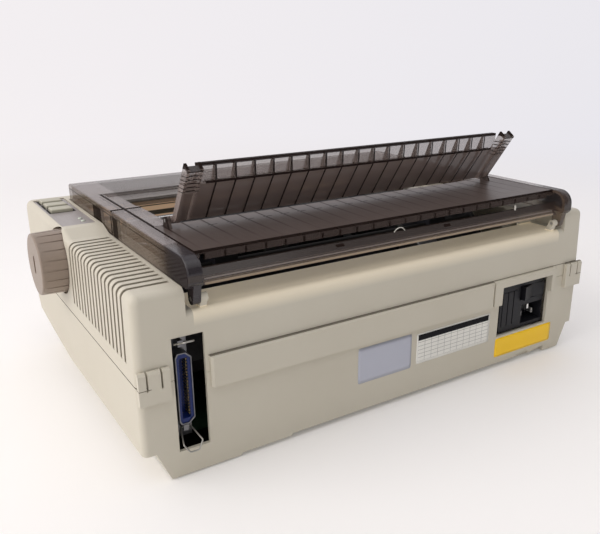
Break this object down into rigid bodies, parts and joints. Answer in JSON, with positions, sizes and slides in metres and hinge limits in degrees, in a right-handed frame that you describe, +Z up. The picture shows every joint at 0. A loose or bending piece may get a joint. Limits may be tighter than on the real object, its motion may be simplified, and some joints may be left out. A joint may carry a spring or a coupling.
{
  "type": "dot matrix printer",
  "caption": "desktop dot matrix printer with smoked hinged covers, raised paper guide, platen knob, tractors, moving print carriage, vented case, parallel connector and power inlet at the rear",
  "frame": {"origin": "on the table plane under the middle of the case", "axes": "+X across the case toward the platen knob, +Y toward the rear, +Z up"},
  "size_m": [0.4085, 0.2866, 0.1864],
  "materials": {
    "case_plastic": "fine satin texture",
    "smoked_plastic": "polished, translucent",
    "guide_plastic": "polished, translucent",
    "knob_plastic": "satin",
    "button_plastic": "satin",
    "panel_plate": "brushed film",
    "lamp_lens": "clear lens",
    "black_plastic": "satin",
    "grey_plastic": "satin",
    "white_plastic": "satin",
    "roller_rubber": "ground",
    "foot_rubber": "moulded",
    "belt_rubber": "moulded",
    "plated_steel": "zinc plated",
    "bright_steel": "ground",
    "motor_steel": "plated",
    "cast_head": "cast",
    "connector_blue": "moulded",
    "contact_metal": "plated",
    "board_green": "lacquered",
    "core_steel": "varnished"
  },
  "bodies": {
    "case": {"lower_case": "case_plastic", "rubber_feet": "foot_rubber", "upper_case": "case_plastic", "case_screws": "plated_steel", "control_panel": "panel_plate", "panel_lamps": "lamp_lens", "mechanism_base": "plated_steel", "right_side_frame": "plated_steel", "left_side_frame": "plated_steel", "mechanism_screws": "plated_steel", "carriage_rod": "bright_steel", "carriage_motor": "motor_steel", "feed_motor": "motor_steel", "support_rod": "bright_steel", "paper_pan": "plated_steel", "platen_bushes": "white_plastic", "carriage_belt": "belt_rubber", "connector_shell": "bright_steel", "connector_insulator": "connector_blue", "connector_contacts": "contact_metal", "power_inlet": "black_plastic", "inlet_pins": "contact_metal", "fuse_drawer": "black_plastic", "main_board": "board_green", "transformer": "core_steel"},
    "rear_cover": {"rear_cover": "smoked_plastic", "rear_panel": "smoked_plastic", "hinge_pins": "plated_steel"},
    "front_lid": {"front_lid": "smoked_plastic"},
    "paper_guide": {"paper_guide": "guide_plastic"},
    "platen": {"platen_shaft": "bright_steel", "platen_roller": "roller_rubber", "platen_knob": "knob_plastic", "platen_gear": "white_plastic"},
    "feed_pinion": {"feed_pinion": "contact_metal"},
    "feed_idler": {"feed_idler_gear": "white_plastic"},
    "tractor_idler": {"tractor_idler_gear": "white_plastic"},
    "tractor_drive": {"tractor_shaft": "bright_steel", "tractor_gear": "white_plastic"},
    "pressure_rollers": {"pressure_rollers": "roller_rubber"},
    "left_tractor": {"left_tractor": "black_plastic"},
    "right_tractor": {"right_tractor": "black_plastic"},
    "left_sprocket": {"left_sprocket": "white_plastic"},
    "right_sprocket": {"right_sprocket": "white_plastic"},
    "left_flap": {"left_tractor_flap": "black_plastic"},
    "right_flap": {"right_tractor_flap": "black_plastic"},
    "carriage": {"carriage": "grey_plastic", "print_head": "cast_head", "ribbon_cartridge": "black_plastic"},
    "motor_pulley": {"motor_pulley": "white_plastic"},
    "idler_pulley": {"idler_pulley": "white_plastic"},
    "paper_bail": {"paper_bail": "bright_steel"},
    "bail_rollers": {"bail_rollers": "roller_rubber"},
    "select_button": {"select_button": "button_plastic"},
    "form_feed_button": {"form_feed_button": "button_plastic"},
    "line_feed_button": {"line_feed_button": "button_plastic"},
    "power_rocker": {"power_rocker": "black_plastic"},
    "lower_bail": {"lower_bail": "bright_steel"},
    "upper_bail": {"upper_bail": "bright_steel"}
  },
  "joints": [
    {"name": "rear_cover_hinge", "type": "hinge", "parent": "case", "child": "rear_cover", "pos_m": [0, 0.136, 0.1145], "axis": [1, 0, 0], "range_deg": [-65, 0]},
    {"name": "front_lid_hinge", "type": "hinge", "parent": "rear_cover", "child": "front_lid", "pos_m": [0, 0.0022, 0.1388], "axis": [1, 0, 0], "range_deg": [-100, 0]},
    {"name": "paper_guide_hinge", "type": "hinge", "parent": "rear_cover", "child": "paper_guide", "pos_m": [0, 0.07061, 0.1458], "axis": [1, 0, 0], "range_deg": [-46, 0]},
    {"name": "platen_spin", "type": "hinge", "parent": "case", "child": "platen", "pos_m": [0, -0.025, 0.1015], "axis": [1, 0, 0], "continuous": true},
    {"name": "feed_idler_spin", "type": "hinge", "parent": "case", "child": "feed_idler", "pos_m": [-0.1485, -0.01303, 0.06861], "axis": [1, 0, 0], "continuous": true},
    {"name": "feed_pinion_spin", "type": "hinge", "parent": "case", "child": "feed_pinion", "pos_m": [-0.1485, 0.0067, 0.06143], "axis": [1, 0, 0], "continuous": true},
    {"name": "tractor_idler_spin", "type": "hinge", "parent": "case", "child": "tractor_idler", "pos_m": [-0.1485, 0.01154, 0.10729], "axis": [1, 0, 0], "continuous": true},
    {"name": "tractor_shaft_spin", "type": "hinge", "parent": "case", "child": "tractor_drive", "pos_m": [0, 0.04019, 0.11182], "axis": [1, 0, 0], "continuous": true},
    {"name": "pressure_roller_spin", "type": "hinge", "parent": "case", "child": "pressure_rollers", "pos_m": [0, -0.03615, 0.08219], "axis": [1, 0, 0], "continuous": true},
    {"name": "left_tractor_slide", "type": "slide", "parent": "case", "child": "left_tractor", "axis": [1, 0, 0], "range_m": [-0.015, 0.06]},
    {"name": "right_tractor_slide", "type": "slide", "parent": "case", "child": "right_tractor", "axis": [1, 0, 0], "range_m": [-0.06, 0.015]},
    {"name": "left_sprocket_spin", "type": "hinge", "parent": "left_tractor", "child": "left_sprocket", "pos_m": [-0.1, 0.04019, 0.11182], "axis": [1, 0, 0], "continuous": true},
    {"name": "right_sprocket_spin", "type": "hinge", "parent": "right_tractor", "child": "right_sprocket", "pos_m": [0.1, 0.04019, 0.11182], "axis": [1, 0, 0], "continuous": true},
    {"name": "left_flap_hinge", "type": "hinge", "parent": "left_tractor", "child": "left_flap", "pos_m": [-0.109, 0.04175, 0.1255], "axis": [0, 1, 0], "range_deg": [-110, 0]},
    {"name": "right_flap_hinge", "type": "hinge", "parent": "right_tractor", "child": "right_flap", "pos_m": [0.109, 0.04175, 0.1255], "axis": [0, 1, 0], "range_deg": [0, 110]},
    {"name": "carriage_slide", "type": "slide", "parent": "case", "child": "carriage", "axis": [1, 0, 0], "range_m": [-0.1, 0.1]},
    {"name": "motor_pulley_spin", "type": "hinge", "parent": "case", "child": "motor_pulley", "pos_m": [-0.128, -0.093, 0.086], "axis": [0, 0, 1], "range_deg": [-900, 900]},
    {"name": "idler_pulley_spin", "type": "hinge", "parent": "case", "child": "idler_pulley", "pos_m": [0.128, -0.093, 0.086], "axis": [0, 0, 1], "range_deg": [-900, 900]},
    {"name": "paper_bail_hinge", "type": "hinge", "parent": "case", "child": "paper_bail", "pos_m": [0, -0.052, 0.092], "axis": [1, 0, 0], "range_deg": [0, 25], "stiffness_Nm_per_rad": 0.02, "springref_deg": -20.05},
    {"name": "bail_roller_spin", "type": "hinge", "parent": "paper_bail", "child": "bail_rollers", "pos_m": [0, -0.034, 0.1208], "axis": [1, 0, 0], "continuous": true},
    {"name": "select_button_press", "type": "slide", "parent": "case", "child": "select_button", "axis": [0, 0, -1], "range_m": [0, 0.0015], "stiffness_N_per_m": 200, "springref_m": -0.0005},
    {"name": "form_feed_button_press", "type": "slide", "parent": "case", "child": "form_feed_button", "axis": [0, 0, -1], "range_m": [0, 0.0015], "stiffness_N_per_m": 200, "springref_m": -0.0005},
    {"name": "line_feed_button_press", "type": "slide", "parent": "case", "child": "line_feed_button", "axis": [0, 0, -1], "range_m": [0, 0.0015], "stiffness_N_per_m": 200, "springref_m": -0.0005},
    {"name": "power_rocker_tilt", "type": "hinge", "parent": "case", "child": "power_rocker", "pos_m": [-0.1433, 0.1316, 0.059], "axis": [0, 0, 1], "range_deg": [-14, 0]},
    {"name": "lower_bail_swing", "type": "hinge", "parent": "case", "child": "lower_bail", "pos_m": [0.1654, 0.131, 0.0299], "axis": [1, 0, 0], "range_deg": [0, 52]},
    {"name": "upper_bail_swing", "type": "hinge", "parent": "case", "child": "upper_bail", "pos_m": [0.1654, 0.131, 0.0866], "axis": [1, 0, 0], "range_deg": [-33, 10]}
  ],
  "couplings": [
    {"joint": "feed_idler_spin", "follows": "platen_spin", "ratio": -1.3333},
    {"joint": "feed_pinion_spin", "follows": "platen_spin", "ratio": 3.3333},
    {"joint": "tractor_idler_spin", "follows": "platen_spin", "ratio": -1.1765},
    {"joint": "tractor_shaft_spin", "follows": "platen_spin", "ratio": 1.6667},
    {"joint": "left_sprocket_spin", "follows": "platen_spin", "ratio": 1.6667},
    {"joint": "right_sprocket_spin", "follows": "platen_spin", "ratio": 1.6667},
    {"joint": "pressure_roller_spin", "follows": "platen_spin", "ratio": -2.6667},
    {"joint": "motor_pulley_spin", "follows": "carriage_slide", "rad_per_m": -151.52},
    {"joint": "idler_pulley_spin", "follows": "carriage_slide", "rad_per_m": -151.52}
  ]
}
